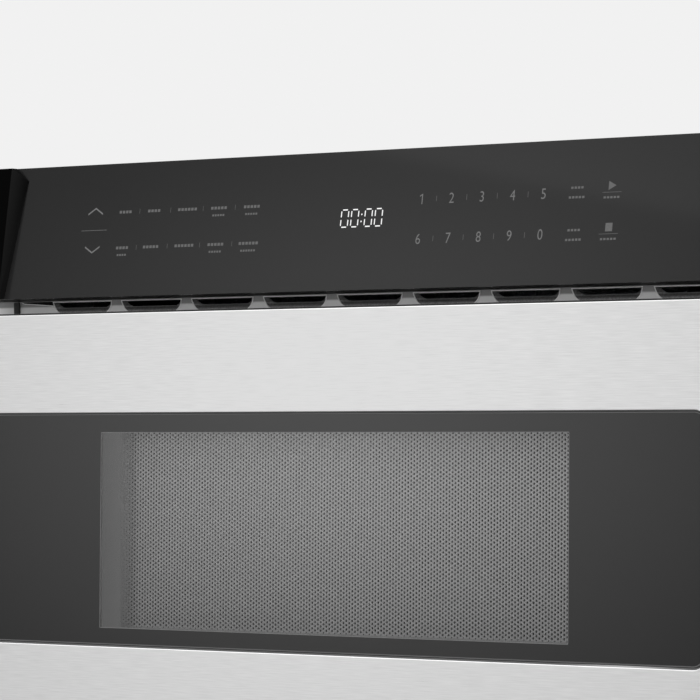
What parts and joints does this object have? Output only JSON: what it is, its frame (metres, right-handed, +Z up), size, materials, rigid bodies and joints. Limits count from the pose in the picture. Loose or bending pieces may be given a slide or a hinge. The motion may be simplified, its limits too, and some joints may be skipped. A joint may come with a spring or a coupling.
{
  "type": "microwave drawer",
  "caption": "Built-in microwave drawer with a brushed steel front, a dark glass window, a leaning touch panel, a vent strip and a motor-driven sliding cooking box.",
  "frame": {"origin": "on the floor plane, under the middle of the closed unit's bounding box", "axes": "+X to the right of a person facing the drawer front, +Y to the back, +Z up; the drawer slides out along -Y"},
  "size_m": [0.606, 0.59, 0.403],
  "materials": {
    "brushed_steel_front": "fine horizontal brush",
    "black_glass": "polished, printed black behind",
    "window_glass": "polished",
    "screen_metal": "perforated, satin grey",
    "frame_metal": "black, satin",
    "grey_painted_steel": "satin grey",
    "zinc_sheet": "zinc coated sheet steel",
    "cavity_enamel": "grey enamel",
    "black_plastic": "moulded, fine grain",
    "seal_plastic": "matt dark grey",
    "tray_ceramic": "smooth glass ceramic",
    "gear_plastic": "natural nylon",
    "rail_steel": "bright zinc plated steel",
    "motor_metal": "plated steel can",
    "core_steel": "varnished steel plates",
    "bare_aluminium": "mill finish",
    "circuit_board": "solder mask",
    "pale_plastic": "moulded"
  },
  "bodies": {
    "cabinet": {"base_plate": "zinc_sheet", "outer_cover": "zinc_sheet", "rear_panel": "zinc_sheet", "front_frame": "grey_painted_steel", "vent_strip": "grey_painted_steel", "exhaust_duct": "zinc_sheet", "oven_cavity": "cavity_enamel", "waveguide": "zinc_sheet", "magnetron": "bare_aluminium", "high_voltage_transformer": "core_steel", "high_voltage_capacitor": "bare_aluminium", "fan_housing": "black_plastic", "fan_motor": "motor_metal", "stirrer_motor": "motor_metal", "power_board": "circuit_board", "line_filter": "motor_metal", "cavity_lamp": "pale_plastic", "control_panel_housing": "black_plastic", "control_panel_glass": "black_glass", "control_board": "circuit_board", "display_module": "black_plastic", "drive_motor": "motor_metal", "drive_motor_bracket": "zinc_sheet", "cord_gland": "black_plastic", "rear_screw_1": "rail_steel", "rear_screw_2": "rail_steel", "rear_screw_3": "rail_steel", "rear_screw_4": "rail_steel", "left_end_cap": "black_plastic", "right_end_cap": "black_plastic", "left_slide_outer_rail": "rail_steel", "right_slide_outer_rail": "rail_steel", "left_shaft_bearing": "pale_plastic", "right_shaft_bearing": "pale_plastic", "left_interlock_switch": "black_plastic", "right_interlock_switch": "black_plastic"},
    "drawer": {"drawer_front_skin": "brushed_steel_front", "drawer_glass": "black_glass", "drawer_inner_frame": "frame_metal", "perforated_screen": "screen_metal", "inner_window": "window_glass", "drawer_seal": "seal_plastic", "drawer_box": "cavity_enamel", "ceramic_tray": "tray_ceramic", "left_drawer_arm": "rail_steel", "right_drawer_arm": "rail_steel", "left_rack": "gear_plastic", "right_rack": "gear_plastic", "left_slide_inner_rail": "rail_steel", "right_slide_inner_rail": "rail_steel", "left_latch_hook": "rail_steel", "right_latch_hook": "rail_steel"},
    "left_middle_rail": {"left_slide_middle_rail": "rail_steel"},
    "right_middle_rail": {"right_slide_middle_rail": "rail_steel"},
    "drive_axle": {"drive_shaft": "rail_steel", "left_pinion": "gear_plastic", "right_pinion": "gear_plastic"},
    "motor_gear": {"motor_pinion": "gear_plastic"},
    "mode_stirrer": {"stirrer": "bare_aluminium"},
    "cooling_fan": {"fan_blades": "pale_plastic"}
  },
  "joints": [
    {"name": "drawer_slide", "type": "slide", "parent": "cabinet", "child": "drawer", "axis": [0, -1, 0], "range_m": [0, 0.38]},
    {"name": "left_rail_slide", "type": "slide", "parent": "cabinet", "child": "left_middle_rail", "axis": [0, -1, 0], "range_m": [0, 0.191]},
    {"name": "right_rail_slide", "type": "slide", "parent": "cabinet", "child": "right_middle_rail", "axis": [0, -1, 0], "range_m": [0, 0.191]},
    {"name": "axle_turn", "type": "hinge", "parent": "cabinet", "child": "drive_axle", "pos_m": [0, -0.2252, 0.028], "axis": [1, 0, 0], "range_deg": [0, 1210]},
    {"name": "motor_gear_turn", "type": "hinge", "parent": "cabinet", "child": "motor_gear", "pos_m": [-0.07, -0.1952, 0.028], "axis": [1, 0, 0], "range_deg": [-1815, 0]},
    {"name": "stirrer_turn", "type": "hinge", "parent": "cabinet", "child": "mode_stirrer", "pos_m": [0, -0.0352, 0.055], "axis": [0, 0, 1], "continuous": true},
    {"name": "fan_turn", "type": "hinge", "parent": "cabinet", "child": "cooling_fan", "pos_m": [0.15, 0.2635, 0.112], "axis": [0, 1, 0], "continuous": true}
  ],
  "couplings": [
    {"joint": "left_rail_slide", "follows": "drawer_slide", "ratio": 0.5},
    {"joint": "right_rail_slide", "follows": "drawer_slide", "ratio": 0.5},
    {"joint": "axle_turn", "follows": "drawer_slide", "rad_per_m": 55.556},
    {"joint": "motor_gear_turn", "follows": "drawer_slide", "rad_per_m": -83.333}
  ]
}
